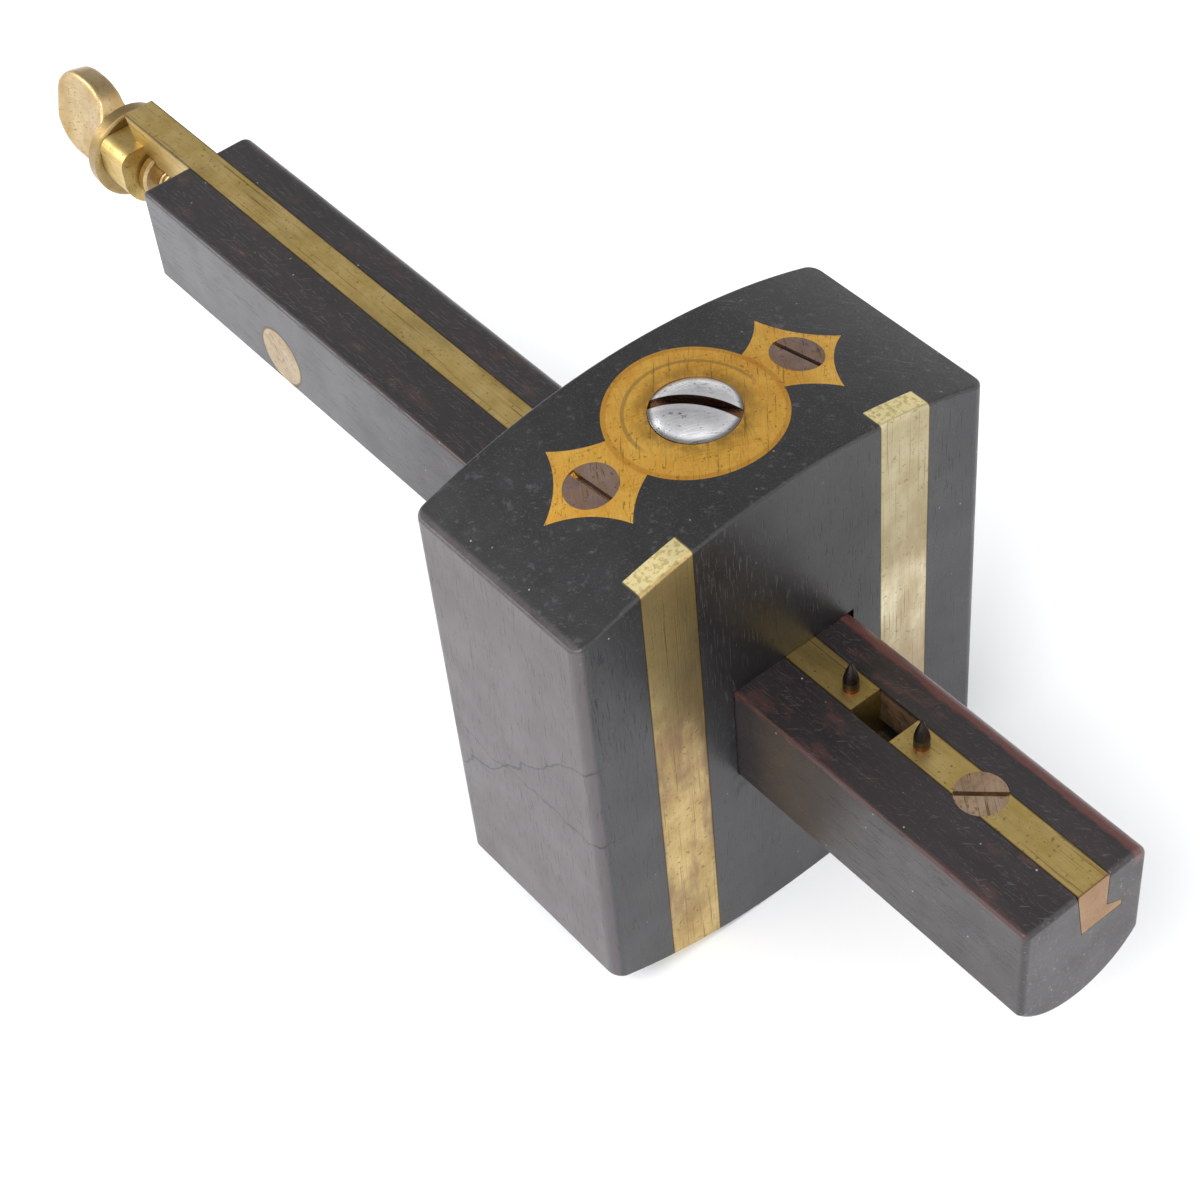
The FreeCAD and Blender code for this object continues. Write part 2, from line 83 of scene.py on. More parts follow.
def spots(tree, place, size, share, soft=0.08, drawn=(1, 1, 1), turn=(0, 0, 0), detail=3.0):
    """Where irregular spots about size millimetres across lie: 0 outside, 1 inside.

    Share is roughly how much of the surface they cover. Drawn is how much
    longer a spot is along each axis, and turn leans those axes.
    """
    scale = 1 / (size * MM)
    turned = add(tree, "ShaderNodeMapping", {0: place, 2: turn})
    mapped = add(tree, "ShaderNodeMapping", {0: turned, 3: [scale / d for d in drawn]})
    cloud = add(tree, "ShaderNodeTexNoise", {0: mapped, "Scale": 1.0, "Detail": detail,
                                             "Roughness": 0.6})
    edge = 0.66 - 0.32 * share
    return add(tree, "ShaderNodeMapRange", {0: cloud, 1: edge - soft, 2: edge + soft},
               interpolation_type="SMOOTHSTEP")


def band(tree, value, low, high, soft):
    """1 where a length lies between low and high metres, fading out over soft beyond them."""
    rise = add(tree, "ShaderNodeMapRange", {0: value, 1: low - soft, 2: low},
               interpolation_type="SMOOTHSTEP")
    fall = add(tree, "ShaderNodeMapRange", {0: value, 1: high, 2: high + soft, 3: 1.0, 4: 0.0},
               interpolation_type="SMOOTHSTEP")
    return where_all(tree, rise, fall)


def where_all(tree, *masks):
    """Where every one of the masks holds. A number scales the rest."""
    whole = masks[0]
    for mask in masks[1:]:
        whole = add(tree, "ShaderNodeMath", {0: whole, 1: mask}, operation="MULTIPLY")
    return whole


def coated(tree, base, *layers):
    """A base colour under layers of (mask, strength, colour), the first one lowest."""
    for mask, strength, colour in layers:
        mask = where_all(tree, mask, strength)
        base = add(tree, "ShaderNodeMix", {0: mask, 6: base, 7: colour}, pick=2, data_type="RGBA")
    return base


def relief(tree, shader, *hollows):
    """Hollows in the surface, each (mask, depth in metres)."""
    normal = None
    for mask, depth in hollows:
        inputs = {"Height": mask, "Distance": -depth}
        if normal is not None:
            inputs["Normal"] = normal
        normal = add(tree, "ShaderNodeBump", inputs)
    tree.links.new(normal, shader.inputs["Normal"])


def from_axis(tree, place, point, across):
    """How far a place lies from an axis through a point; across is 1 along both axes square to it."""
    moved = add(tree, "ShaderNodeVectorMath", {0: place, 1: [-c for c in point]}, operation="ADD")
    flat = add(tree, "ShaderNodeVectorMath", {0: moved, 1: across}, operation="MULTIPLY")
    return add(tree, "ShaderNodeVectorMath", {0: flat}, pick=1, operation="LENGTH")


def dress(material, colour, *names):
    """Gives a material its colour and puts it in every slot of some CAD nodes."""
    tree = material.node_tree
    tree.links.new(colour, tree.nodes["Principled BSDF"].inputs["Base Color"])
    for name in names:
        for slot in nodes[name].material_slots:
            slot.material = material


def oiled_ebony(name, dark, light, along, drawn):
    """Ebony rubbed with oil: pores 0.2 mm wide and fine crossed handling scratches.

    Along is the axis of the fibres, 0 to 2, and drawn says how long the paler
    figure is for its width.
    """
    material, tree, shader, place = start_surface(name, Roughness=0.36, IOR=1.55, Specular_IOR_Level=0.5)
    fibre = [drawn if axis == along else 1 for axis in range(3)]
    pore = [16 if axis == along else 1 for axis in range(3)]
    figure = spots(tree, place, 5.0, 0.5, 0.22, fibre, detail=6.0)
    pores = spots(tree, place, 0.22, 0.04, 0.05, pore)
    worn = spots(tree, place, 9.0, 0.45, 0.20, detail=5.0)
    scratches = spots(tree, place, 0.30, 0.0, 0.02, (1, 24, 1), (0.5, 0.3, 0.8))
    crossed = spots(tree, place, 0.30, 0.0, 0.02, (24, 1, 1), (0.2, 0.6, 0.4))
    cells = add(tree, "ShaderNodeTexVoronoi", {"Vector": place, "Scale": 1 / (3.2 * MM)})
    dust = add(tree, "ShaderNodeMapRange", {0: cells, 1: 0.03, 2: 0.05, 3: 1.0, 4: 0.0})
    colour = coated(tree, dark, (figure, 1.0, light), (pores, 0.8, "#0b0a0b"),
                    (scratches, 0.14, "#8f8d8c"), (crossed, 0.12, "#8f8d8c"), (worn, 0.5, dark),
                    (dust, 0.5, "#c9c4ba"))
    gloss = add(tree, "ShaderNodeMapRange", {0: worn, 3: 0.30, 4: 0.42})
    tree.links.new(gloss, shader.inputs["Roughness"])
    relief(tree, shader, (pores, 0.06 * MM), (scratches, 0.01 * MM))
    return material, tree, place, colour


head_low, head_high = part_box("head_block")
stem_low, stem_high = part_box("stem")
ebony_head, tree, place, colour = oiled_ebony("ebony_oiled_head", "#151416", "#232224", 2, 8)
x, y, z = add(tree, "ShaderNodeSeparateXYZ", {0: place}).node.outputs
# painted reflection: a dark brown column above the stem, as wide as the stem, paints the stem's reflection
# in the head
painted_stem_reflection = where_all(tree, band(tree, z, stem_high[2] + 2 * MM, 72 * MM, 10 * MM),
                    band(tree, y, -12 * MM, 12 * MM, 6 * MM))
# painted reflection: patchy grey towards the bottom of the head paints the floor's reflection
floor_reflection_patches = where_all(tree, band(tree, z, -10 * MM, 40 * MM, 22 * MM), spots(tree, place, 14.0, 0.8, 0.35))
# painted sheen: the left side is painted lighter mauve-grey
head_left_sheen = band(tree, y, -FAR, head_low[1] + 0.7 * MM, 0.6 * MM)
crown_radius = 93 * MM
from_crown_axis = from_axis(tree, place, (0, 0, head_high[2] - crown_radius), (0, 1, 1))
crown = band(tree, from_crown_axis, crown_radius - 0.2 * MM, FAR, 0.3 * MM)
# painted shade: the crown is darkened in mottled near-black patches
crown_mottled_shade = where_all(tree, crown, spots(tree, place, 2.5, 0.5, 0.25, detail=6.0))
rubbed = where_all(tree, crown, spots(tree, place, 1.2, 0.08, 0.06, detail=6.0))
colour = coated(tree, colour, (floor_reflection_patches, 0.55, "#3a3a3d"), (painted_stem_reflection, 0.75, "#0c0807"),
                (head_left_sheen, 0.75, "#4d4547"), (crown_mottled_shade, 0.5, "#08080a"), (rubbed, 0.4, "#4c4d50"))
wander = add(tree, "ShaderNodeTexNoise", {0: place, "Scale": 1 / (6 * MM), "Detail": 4.0})
for climb, level, low, high, width in ((0.8, -0.4, -40.0, -32.5, 0.22), (0.0, 37.0, -34.0, -30.0, 0.14),
                                       (0.0, 61.0, 10.0, 24.0, 0.14)):
    # a drying crack wanders about a line that climbs towards the fence; millimetres
    straight = add(tree, "ShaderNodeMath", {0: x, 1: -climb, 2: z}, operation="MULTIPLY_ADD")
    course = add(tree, "ShaderNodeMath", {0: wander, 1: 6 * MM, 2: straight}, operation="MULTIPLY_ADD")
    crack = where_all(tree, band(tree, course, level * MM, (level + width) * MM, width * MM),
                      band(tree, y, low * MM, high * MM, 3 * MM))
    colour = coated(tree, colour, (crack, 0.9, "#050404"))
# dirt that has packed into the corner round the stem
to_side = add(tree, "ShaderNodeMath", {0: y}, operation="ABSOLUTE")
beside = add(tree, "ShaderNodeMath", {0: to_side, 1: stem_high[1]}, operation="SUBTRACT")
above = add(tree, "ShaderNodeMath", {0: z, 1: stem_high[2]}, operation="SUBTRACT")
from_stem = add(tree, "ShaderNodeMath", {0: beside, 1: above}, operation="MAXIMUM")
packed = where_all(tree, band(tree, from_stem, -1 * MM, 0.6 * MM, 1.2 * MM),
                   band(tree, z, stem_low[2] + 3 * MM, FAR, 4 * MM),
                   spots(tree, place, 1.2, 0.5, 0.15, detail=5.0))
colour = coated(tree, colour, (packed, 0.9, "#0a0706"))
dress(ebony_head, colour, "head_block")

# ----------------------------------------------------------------- wear strips
# Two bars of rolled brass let into the fence to take the rubbing of the work.
# The fence side is pale with long rubbing marks and brown streaks painted at the
# stem's height as a painted reflection of the stem, and its upper part is painted
# darker olive as a painted reflection; the ends are bright and speckled, and dirt
# lies along both long edges.


def old_brass(name, bright, dull, rubbed, turn=(0, 0, 0), roughness=0.38, spotted="#4a3418"):
    """Metal that has been handled: fine marks along one way, tarnish and small pits.

    Rubbed is how much longer than wide the marks are along each axis. They are
    drawn 0.2 mm wide, somewhat coarser than a file leaves them, so that they
    show at arm's length.
    """
    material, tree, shader, place = start_surface(name, Metallic=1.0, Roughness=roughness)
    tarnish = spots(tree, place, 6.0, 0.5, 0.25, detail=6.0)
    lines = spots(tree, place, 0.20, 0.35, 0.22, rubbed, turn)
    deep = spots(tree, place, 0.30, 0.06, 0.05, rubbed, turn)
    pits = spots(tree, place, 0.6, 0.05, 0.04)
    colour = coated(tree, bright, (tarnish, 1.0, dull), (lines, 0.45, dull),
                    (deep, 0.6, spotted), (pits, 0.5, spotted))
    gloss = add(tree, "ShaderNodeMapRange", {0: tarnish, 3: roughness - 0.05, 4: roughness + 0.08})
    tree.links.new(gloss, shader.inputs["Roughness"])
    relief(tree, shader, (lines, 0.005 * MM), (deep, 0.006 * MM), (pits, 0.008 * MM))
    return material, tree, place, colour


for side, bright, dull, stem_reflection_tint in (("left", "#dcc38a", "#b0945e", "#7f6450"),
                                  ("right", "#ebe2c2", "#c8ba96", "#a89070")):
    low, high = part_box("wear_strip_" + side)
    brass, tree, place, colour = old_brass("brass_rolled_wear_" + side, bright, dull, (1, 1, 60))
    x, y, z = add(tree, "ShaderNodeSeparateXYZ", {0: place}).node.outputs
    middle = band(tree, y, low[1] + 0.3 * MM, high[1] - 0.3 * MM, 0.2 * MM)
    edges = add(tree, "ShaderNodeMath", {0: 1.0, 1: middle}, operation="SUBTRACT")
    # painted reflection: the upper part of each strip is painted darker olive
    upper_painted_reflection = band(tree, z, 52 * MM, 73 * MM, 6 * MM)
    end = band(tree, x, 0, high[0] - 0.6 * MM, 0.4 * MM)
    speckled = where_all(tree, end, spots(tree, place, 0.6, 0.35, 0.08))
    # painted reflection: brown vertical streaks at the stem's height paint the stem's reflection in the
    # brass
    stem_reflection_streaks = where_all(tree, spots(tree, place, 5.0, 0.5, 0.12, (1, 1, 4), detail=6.0),
                        band(tree, z, 16 * MM, 50 * MM, 12 * MM))
    colour = coated(tree, colour, (stem_reflection_streaks, 0.75, stem_reflection_tint), (upper_painted_reflection, 0.55, "#857650"),
                    (end, 0.9, "#fff0b4"), (speckled, 0.5, "#b08c44"), (edges, 0.85, "#2a2018"))
    dress(brass, colour, "wear_strip_" + side)

# ------------------------------------------------------------------ lock plate
# Yellow brass, sawn to a ring with a star at each end, filed off with the
# crown: deep gold, covered in fine crossed scratches, with a rubbed arc round
# the screw and dark grease close to it.
plate_low, plate_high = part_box("lock_plate")
centre_x = (plate_low[0] + plate_high[0]) / 2
brass, tree, place, colour = old_brass("brass_sawn_plate", "#fcca62", "#d29a3e", (40, 1, 1),
                                       (0, 0, 0.7), 0.42)
x, y, z = add(tree, "ShaderNodeSeparateXYZ", {0: place}).node.outputs
for turn, share, strength, shade in ((1.0, 0.14, 0.35, "#e8c478"), (-0.9, 0.10, 0.3, "#e8c478"),
                                     (0.4, 0.12, 0.22, "#7d551c"), (2.0, 0.10, 0.22, "#7d551c")):
    # the ways the file and a century of pockets have crossed it
    lines = spots(tree, place, 0.22, share, 0.05, (40, 1, 4), (0, 0, turn))
    colour = coated(tree, colour, (lines, strength, shade))
radius = from_axis(tree, place, (centre_x, 0, 0), (1, 1, 0))
arc = where_all(tree, band(tree, radius, 8.7 * MM, 9.0 * MM, 0.2 * MM),
                band(tree, x, 0, centre_x - 1 * MM, 3 * MM))
grease = where_all(tree, band(tree, radius, 0, 6.1 * MM, 2.8 * MM),
                   spots(tree, place, 2.5, 0.6, 0.16, detail=5.0))
ring_edge = band(tree, radius, 11.0 * MM, 11.5 * MM, 0.3 * MM)
colour = coated(tree, colour, (arc, 0.5, "#7d6a48"), (grease, 0.6, "#7a5a2c"),
                (ring_edge, 0.35, "#a5651c"))
dress(brass, colour, "lock_plate")
brass, tree, place, colour = old_brass("brass_turned_bush", "#a88450", "#85683a", (1, 1, 8))
dress(brass, colour, "lock_bush", "pressure_pad")

# ---------------------------------------------------------- plate and bar screws
# Steel wood screws, driven and then filed flush: brown with old rust, dull,
# with file marks across the heads. The bar's screw has rusted less.
for name, bright, dull in (("plate_screws", "#a18a7c", "#75605a"), ("strip_screw", "#c6ab90", "#9c846e")):
    steel, tree, place, colour = old_brass("steel_filed_" + name, bright, dull, (30, 1, 1),
                                           (0, 0, 0.6), 0.44, "#31241f")
    colour = coated(tree, colour, (spots(tree, place, 2.0, 0.35, 0.10), 0.5, "#8c6f4a"))
    dress(steel, colour, name)

# ------------------------------------------------------------------ lock screw
# Turned steel with a domed head, polished bright by use: pits and fine scratches,
# lips of the slot rubbed bright, and brown dirt in the slot.
lock_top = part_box("lock_screw")[1][2]
steel, tree, place, colour = old_brass("steel_turned_lock_screw", "#f2f2f4", "#b4b5b9", (1, 20, 1),
                                       (0, 0, 0.5), 0.20, "#4a4848")
slot_turn = math.radians(38)
square_to_slot = (-math.sin(slot_turn), math.cos(slot_turn), 0)
from_screw = add(tree, "ShaderNodeVectorMath", {0: place, 1: (-centre_x, 0, 0)}, operation="ADD")
across = add(tree, "ShaderNodeVectorMath", {0: from_screw, 1: square_to_slot}, pick=1,
             operation="DOT_PRODUCT")
x, y, z = add(tree, "ShaderNodeSeparateXYZ", {0: place}).node.outputs
in_slot = where_all(tree, band(tree, across, -0.79 * MM, 0.79 * MM, 0.05 * MM),
                    band(tree, z, 0, lock_top - 0.7 * MM, 0.8 * MM))
lips = band(tree, across, -1.3 * MM, 1.3 * MM, 0.5 * MM)
rim = band(tree, z, 0, lock_top - 1.6 * MM, 0.4 * MM)
colour = coated(tree, colour, (lips, 0.6, "#e6e6e8"), (rim, 0.85, "#3f3a36"), (in_slot, 0.85, "#6e5845"))
dress(steel, colour, "lock_screw")

# ------------------------------------------------------------------------ stem
# A bar of ebony from redder wood than the head: flat top and sides, rounded
# below. Handling has worn its top edges down to red-brown wood, most of all at
# the near end on the right. The left side far behind the head is painted grey, a painted sheen.
ebony_stem, tree, place, colour = oiled_ebony("ebony_planed_stem", "#1b1618", "#2a2224", 0, 6)
x, y, z = add(tree, "ShaderNodeSeparateXYZ", {0: place}).node.outputs
ragged = spots(tree, place, 2.5, 0.5, 0.40, (4, 1, 1), detail=6.0)
depth = add(tree, "ShaderNodeMath", {0: stem_high[2], 1: z}, operation="SUBTRACT")
for side, reach, start_x, strength, shade in ((1, 2.2 * MM, head_high[0], 0.75, "#5a302b"),
                                              (1, 0.6 * MM, 0, 0.35, "#5e3a34"),
                                              (-1, 0.4 * MM, -FAR, 0.55, "#4a2a26")):
    # how far in from the top edge, or down the side, whichever is the greater
    inward = add(tree, "ShaderNodeMath", {0: y, 1: -side, 2: stem_high[1]}, operation="MULTIPLY_ADD")
    away = add(tree, "ShaderNodeMath", {0: inward, 1: depth}, operation="MAXIMUM")
    away = add(tree, "ShaderNodeMath", {0: ragged, 1: 1.1 * MM, 2: away}, operation="MULTIPLY_ADD")
    worn = where_all(tree, band(tree, away, -1 * MM, reach + 0.4 * MM, 0.5 * MM),
                     band(tree, x, start_x, FAR, 4 * MM))
    colour = coated(tree, colour, (worn, strength, shade))
flecks = where_all(tree, spots(tree, place, 3.0, 0.12, 0.06, (2, 1, 1), detail=6.0),
                   band(tree, depth, -FAR, 1 * MM, 0.5 * MM))
# painted sheen: the left side far behind the head is painted grey
stem_left_sheen = where_all(tree, band(tree, y, -FAR, stem_low[1] + 0.4 * MM, 0.4 * MM),
                       band(tree, x, -FAR, head_low[0] - 60 * MM, 40 * MM))
far_top = where_all(tree, band(tree, depth, -FAR, 0.3 * MM, 0.3 * MM),
                    band(tree, x, -FAR, head_low[0], 5 * MM))
end_dust = where_all(tree, band(tree, x, stem_high[0] - 0.4 * MM, FAR, 0.3 * MM),
                     spots(tree, place, 0.5, 0.04, 0.06))
pin_low, pin_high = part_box("moving_pin")
middle_y = (pin_low[1] + pin_high[1]) / 2
in_groove = where_all(tree, band(tree, y, middle_y - 2.7 * MM, middle_y + 2.7 * MM, 0.1 * MM),
                      band(tree, depth, 1 * MM, 12 * MM, 0.8 * MM),
                      band(tree, x, -FAR, stem_high[0] - 1 * MM, 0.2 * MM),
                      spots(tree, place, 1.5, 0.7, 0.2, detail=5.0))
colour = coated(tree, colour, (flecks, 0.3, "#5a3833"), (stem_left_sheen, 0.6, "#4f4f52"),
                (far_top, 0.35, "#0c0809"), (end_dust, 0.2, "#b5b1aa"), (in_groove, 0.8, "#6a5236"))
dress(ebony_stem, colour, "stem")

# ----------------------------------------------------------------- brass bars
# The fixed bar and the sliding bar are drawn from one strip: olive-gold, with
# long scratches, dark pits and dirt along the edges of the groove. The barrel
# nut is paler, with a dark rim.
near_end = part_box("fixed_strip")[1][0]
brass, tree, place, colour = old_brass("brass_drawn_bars", "#d6bc80", "#b29858", (60, 1, 1),
                                       (0, 0, 0), 0.40)
x, y, z = add(tree, "ShaderNodeSeparateXYZ", {0: place}).node.outputs
top = band(tree, z, stem_high[2] - 0.3 * MM, FAR, 0.3 * MM)
middle = band(tree, y, middle_y - 2.3 * MM, middle_y + 2.3 * MM, 0.2 * MM)
edges = where_all(tree, top, add(tree, "ShaderNodeMath", {0: 1.0, 1: middle}, operation="SUBTRACT"))
cut_end = band(tree, x, near_end - 0.2 * MM, FAR, 0.1 * MM)
stained = spots(tree, place, 4.0, 0.3, 0.12, (3, 1, 1), detail=6.0)
colour = coated(tree, colour, (stained, 0.4, "#7f6a34"), (edges, 0.7, "#33281a"),
                (cut_end, 0.75, "#8c6650"))
dress(brass, colour, "fixed_strip", "slide_bar")
brass, tree, place, colour = old_brass("brass_turned_nut", "#bdaf97", "#a89479", (1, 1, 6),
                                       (0, 0.6, 0), 0.44)
nut_low, nut_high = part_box("barrel_nut")
nut_centre = [(a + b) / 2 for a, b in zip(nut_low, nut_high)]
nut_radius = nut_high[0] - nut_centre[0]
rim = band(tree, from_axis(tree, place, nut_centre, (1, 0, 1)), nut_radius - 0.3 * MM, FAR, 0.3 * MM)
colour = coated(tree, colour, (rim, 0.8, "#4a3a2e"))
dress(brass, colour, "barrel_nut")

# ------------------------------------------------------------------------ pins
# Hard steel, filed to a point by hand: almost black, with rust where each comes
# out of the brass.
steel, tree, place, colour = old_brass("steel_filed_pins", "#4d4543", "#2c2625", (1, 1, 12),
                                       (0, 0, 0), 0.34, "#120f0e")
x, y, z = add(tree, "ShaderNodeSeparateXYZ", {0: place}).node.outputs
rusted = band(tree, z, 0, stem_high[2] + 0.3 * MM, 0.5 * MM)
colour = coated(tree, colour, (rusted, 0.7, "#6e3c26"))
dress(steel, colour, "fixed_pin", "moving_pin")

# ------------------------------------------------------------------ thumbscrew
# Cast brass in one piece: a dished oval thumb plate, a collar and a flange
# turned either side of the lug's groove, and a rod threaded at 1 mm pitch.
# Fingers have polished the plate's faces and edges.
brass, tree, place, colour = old_brass("brass_cast_thumbscrew", "#c2ad84", "#a9926a", (6, 1, 1),
                                       (0.5, 0.4, 0), 0.30, "#6a4f28")
x, y, z = add(tree, "ShaderNodeSeparateXYZ", {0: place}).node.outputs
thumb_low, thumb_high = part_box("thumbscrew")
axis_z = (thumb_low[2] + thumb_high[2]) / 2
lug_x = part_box("slide_bar")[0][0]
# painted shade: the hub and collar beside the lug are painted darker olive
collar_shade = band(tree, x, lug_x - 6 * MM, lug_x + 4 * MM, 1.5 * MM)
stained = spots(tree, place, 3.5, 0.35, 0.12, detail=5.0)
colour = coated(tree, colour, (stained, 0.45, "#a07c42"), (collar_shade, 0.6, "#7d683c"))
dress(brass, colour)


def loft(name, stations, around):
    """A closed solid along X through rounded sections.

    Each station is (x, half height, half thickness, squareness): squareness 2
    is an ellipse and more is a rectangle with rounded corners.
    """
    points = []
    for x, height, thick, square in stations:
        for i in range(around):
            angle = 2 * math.pi * i / around
            c, s = math.cos(angle), math.sin(angle)
            points.append((x, math.copysign(abs(c) ** (2 / square), c) * thick,
                           math.copysign(abs(s) ** (2 / square), s) * height))
    faces = [tuple(reversed(range(around)))]
    for ring in range(len(stations) - 1):
        start, following = ring * around, (ring + 1) * around
        for i in range(around):
            j = (i + 1) % around
            faces.append((start + i, start + j, following + j, following + i))
    last = (len(stations) - 1) * around
    faces.append(tuple(range(last, last + around)))
    mesh = bpy.data.meshes.new(name)
    mesh.from_pydata(points, [], faces)
    return mesh


around = 96
flat, circle = 6.0, 2.0  # squareness of the plate's sections and of the turned ones
oval_power = 2.5
tip = thumb_low[0] + 0.02 * MM
plate_half = 7.25 * MM
plate_thick = 2.4 * MM
plate_depth = 15.4 * MM
rim_round = 0.9 * MM
thinnest = 0.5 * MM
neck = 3.75 * MM
neck_length = 1.5 * MM
steps = 20
stations = []
for step in range(1, 2 * steps + 1):
    # the plate is an oval, closely rounded at its rim, that runs into the neck
    share = 1 - math.cos(math.pi / 2 * step / steps) if step < steps else 1 + 0.8 * (step - steps) / steps
    along = share * plate_depth / 2
    height = plate_half * max(1 - abs(1 - share) ** oval_power, 0) ** (1 / oval_power)
    rim = min(along / rim_round, 1)
    thick = plate_thick * (0.35 + 0.65 * math.sqrt(1 - (1 - rim) ** 2))
    height = max(height, thinnest)
    stations.append([tip + along, height, min(thick, height), flat])
oval_end, oval_height = stations[-1][:2]
for share in (0.25, 0.5, 0.75, 1.0):
    # from the flat section to the round neck
    stations.append([oval_end + share * neck_length, oval_height + (neck - oval_height) * share,
                     plate_thick + (neck - plate_thick) * share, flat + (circle - flat) * share])
plate_points = len(stations) * around
lug_depth = 6.4 * MM
clearance = 0.12 * MM
groove_low, groove_high = lug_x - clearance, lug_x + lug_depth + clearance
rod_end = thumb_high[0]
for place_x, beyond, radius in ((groove_low, -3.6, 3.75), (groove_low, -3.1, 4.8), (groove_low, -2.95, 7.2),
                                (groove_low, -2.6, 7.65), (groove_low, -0.5, 7.75), (groove_low, -0.1, 7.4),
                                (groove_low, 0, 7.0), (groove_low, 0, 2.35), (groove_high, 0, 2.35),
                                (groove_high, 0, 3.8), (groove_high, 0.3, 4.15), (groove_high, 1.4, 4.15),
                                (groove_high, 1.75, 3.7), (groove_high, 1.75, 2.0), (rod_end, -0.8, 2.0),
                                (rod_end, -0.05, 1.3)):
    # collar, groove, flange and rod, each turned; millimetres beyond a place, and radius
    stations.append([place_x + beyond * MM, radius * MM, radius * MM, circle])
mesh = loft("thumbscrew_body", stations, around)
plate_turn = math.radians(14)
dish_x = tip + 7.0 * MM
dish_half = 6.0 * MM
dish_share = 0.22  # of the plate's thickness, at the middle of the dish
for vertex in mesh.vertices:
    # both faces of the plate are dished for the finger and the thumb
    reach = ((vertex.co.x - dish_x) / dish_half) ** 2 + (vertex.co.z / dish_half) ** 2
    if vertex.index < plate_points and reach < 1:
        vertex.co.y *= 1 - dish_share * (1 - reach) ** 0.7
    y, z = vertex.co.y, vertex.co.z
    vertex.co.y = middle_y + y * math.cos(plate_turn) + z * math.sin(plate_turn)
    vertex.co.z = axis_z + z * math.cos(plate_turn) - y * math.sin(plate_turn)
mesh.materials.append(brass)
for face in mesh.polygons:
    face.use_smooth = len(face.vertices) == 4
thumb = bpy.data.objects.new("thumbscrew_body", mesh)
bpy.context.collection.objects.link(thumb)
bpy.context.view_layer.update()
with bpy.context.temp_override(object=thumb, active_object=thumb, selected_objects=[thumb],
                               selected_editable_objects=[thumb]):
    bpy.ops.object.shade_smooth_by_angle(angle=math.radians(35))
thumb.data = bpy.data.meshes.new_from_object(thumb.evaluated_get(bpy.context.evaluated_depsgraph_get()))
thumb.modifiers.clear()

# The thread is a ridge wound round the rod, one turn for each pitch.
wind = bpy.data.node_groups.new("thread_ridge", "GeometryNodeTree")
identifiers = {}
for label, kind in (("Radius", "Float"), ("Pitch", "Float"), ("Turns", "Float"), ("Start", "Vector"),
                    ("Material", "Material")):
    made = wind.interface.new_socket(label, in_out="INPUT", socket_type="NodeSocket" + kind)
    identifiers[label] = made.identifier
wind.interface.new_socket("Geometry", in_out="OUTPUT", socket_type="NodeSocketGeometry")
given = add(wind, "NodeGroupInput").node.outputs
length = add(wind, "ShaderNodeMath", {0: given["Pitch"], 1: given["Turns"]}, operation="MULTIPLY")
spiral = add(wind, "GeometryNodeCurveSpiral", {"Resolution": 20, "Rotations": given["Turns"],
                                              "Height": length, "Start Radius": given["Radius"],
                                              "End Radius": given["Radius"]})
ridge_share = 0.42  # radius of the ridge for each pitch
section = add(wind, "ShaderNodeMath", {0: given["Pitch"], 1: ridge_share}, operation="MULTIPLY")
profile = add(wind, "GeometryNodeCurvePrimitiveCircle", {"Resolution": 6, "Radius": section})
ridge = add(wind, "GeometryNodeCurveToMesh", {"Curve": spiral, "Profile Curve": profile, "Fill Caps": True})
laid = add(wind, "GeometryNodeTransform", {"Geometry": ridge, "Translation": given["Start"],
                                           "Rotation": (0, math.pi / 2, 0)})
finished = add(wind, "GeometryNodeSetMaterial", {"Geometry": laid, "Material": given["Material"]})
add(wind, "NodeGroupOutput", {"Geometry": finished}, pick=None)
thread = bpy.data.objects.new("thumbscrew_thread", bpy.data.meshes.new("thumbscrew_thread"))
bpy.context.collection.objects.link(thread)
winding = thread.modifiers.new("winding", "NODES")
winding.node_group = wind
thread_start = groove_high + 3.0 * MM
thread_radius = 1.95 * MM
pitch = 1.0 * MM
turns = (rod_end - 2 * MM - thread_start) / pitch
for label, value in (("Radius", thread_radius), ("Pitch", pitch), ("Turns", turns),
                     ("Start", (thread_start, middle_y, axis_z)), ("Material", brass)):
    winding[identifiers[label]] = value
bpy.context.view_layer.update()
thread.data = bpy.data.meshes.new_from_object(thread.evaluated_get(bpy.context.evaluated_depsgraph_get()))
thread.modifiers.clear()
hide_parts("thumbscrew")
for piece in (thumb, thread):
    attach(piece, "thumb")

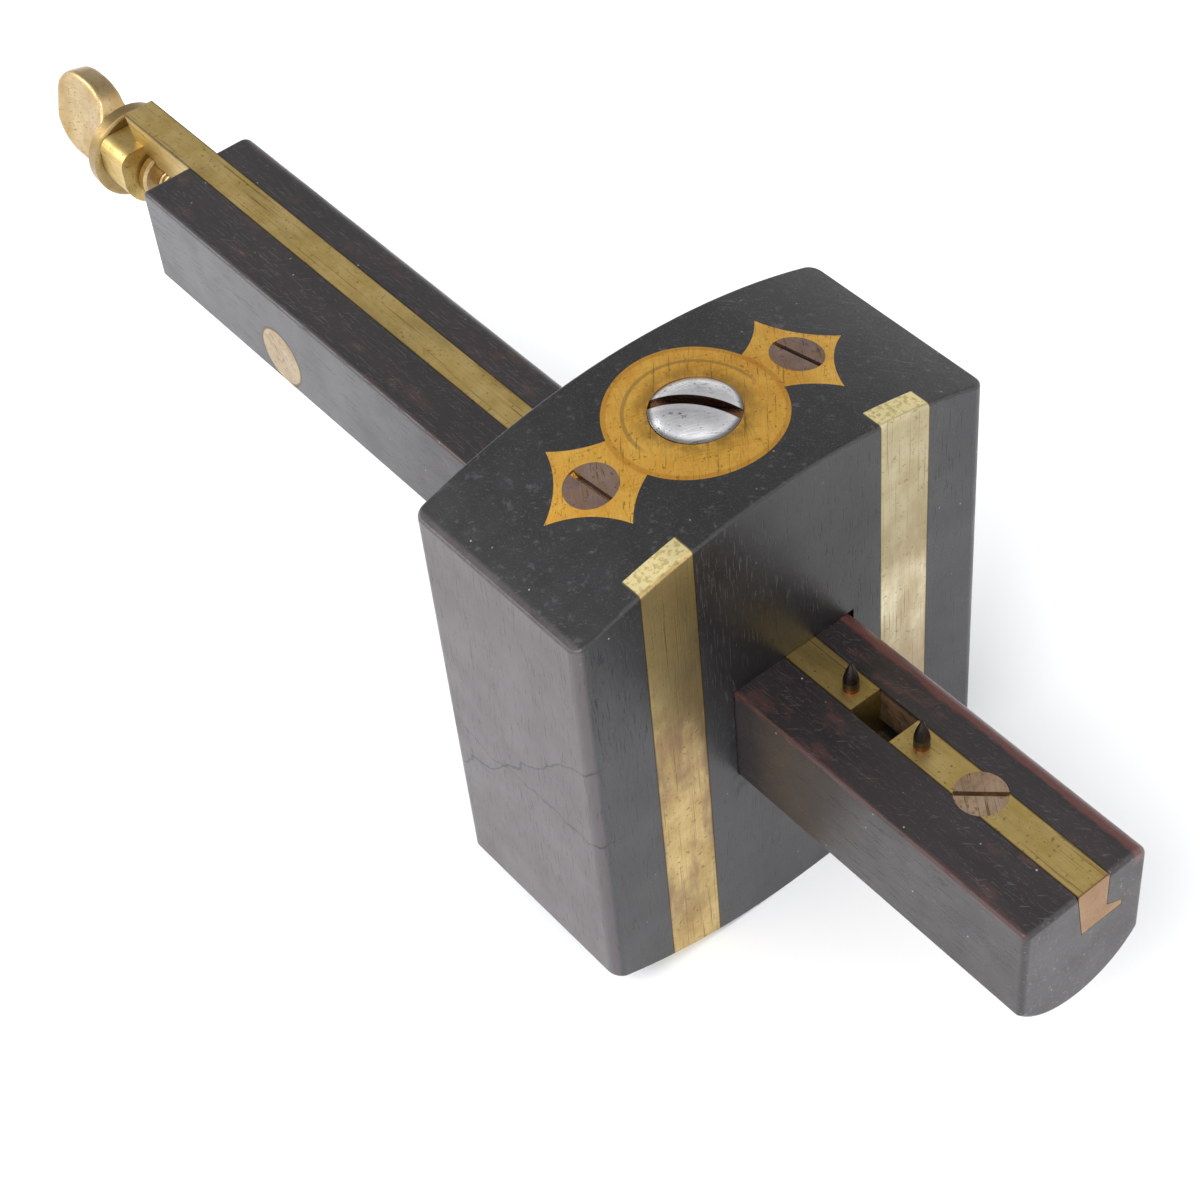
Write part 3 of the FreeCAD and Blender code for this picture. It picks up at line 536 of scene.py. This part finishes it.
# ---------------------------------------------------------- floor, light, camera
# A pale sweep of paper under a tent of soft light that is open behind, above
# and to the right, so that the top faces stay dark and the sides catch the
# bright floor.
floor_mesh = bpy.data.meshes.new("floor")
reach = 4.0
floor_mesh.from_pydata([(-reach, -reach, 0), (reach, -reach, 0), (reach, reach, 0), (-reach, reach, 0)],
                       [], [(0, 1, 2, 3)])
floor = bpy.data.objects.new("floor", floor_mesh)
bpy.context.collection.objects.link(floor)
paper, _, shader, _ = start_surface("paper_matt_white", Roughness=0.9)
shader.inputs["Base Color"].default_value = linear("#fbfcfe")
floor_mesh.materials.append(paper)

world = bpy.data.worlds.new("tent")
world.use_nodes = True
tree = world.node_tree
background = tree.nodes["Background"]
towards = add(tree, "ShaderNodeTexCoord", pick=0)
open_side = Vector((-0.50, 0.43, 0.75)).normalized()
tent_strength, open_strength = 1.6, 0.55
opening_begins, opening_full = 0.35, 0.92  # cosines of the angle off its middle
opening = add(tree, "ShaderNodeVectorMath", {0: towards, 1: open_side}, pick=1, operation="DOT_PRODUCT")
strength = add(tree, "ShaderNodeMapRange", {0: opening, 1: opening_begins, 2: opening_full,
                                            3: tent_strength, 4: open_strength},
               interpolation_type="SMOOTHSTEP")
tree.links.new(strength, background.inputs["Strength"])
background.inputs["Color"].default_value = linear("#ffffff")
bpy.context.scene.world = world


def soft_box(name, where, size, power, aim):
    """A square soft light at a place, facing a point."""
    lamp = bpy.data.lights.new(name, "AREA")
    lamp.size = size
    lamp.energy = power
    holder = bpy.data.objects.new(name, lamp)
    holder.location = where
    holder.rotation_euler = (Vector(aim) - Vector(where)).to_track_quat("-Z", "Y").to_euler()
    bpy.context.collection.objects.link(holder)


target = (head_high[0], 0.0, stem_high[2])
soft_box("key_light", (0.30, -0.60, 0.75), 0.4, 3.5, target)
soft_box("left_light", (-0.55, -0.45, 0.45), 0.4, 2.0, (-0.1, -0.15, 0.0))

camera_data = bpy.data.cameras.new("camera")
camera_data.sensor_width = 36.0
camera_data.lens = 79.35
camera_data.shift_x = 0.0088
camera_data.clip_start = 0.01
camera = bpy.data.objects.new("camera", camera_data)
from_target = Vector((0.1646, -0.1417, 0.2498))
tilt, roll, heading = 42.235, 4.568, 50.769
camera.location = Vector(target) + from_target
camera.rotation_euler = Euler([math.radians(angle) for angle in (tilt, roll, heading)])
bpy.context.collection.objects.link(camera)
bpy.context.scene.camera = camera
bpy.context.scene.view_settings.view_transform = "Standard"
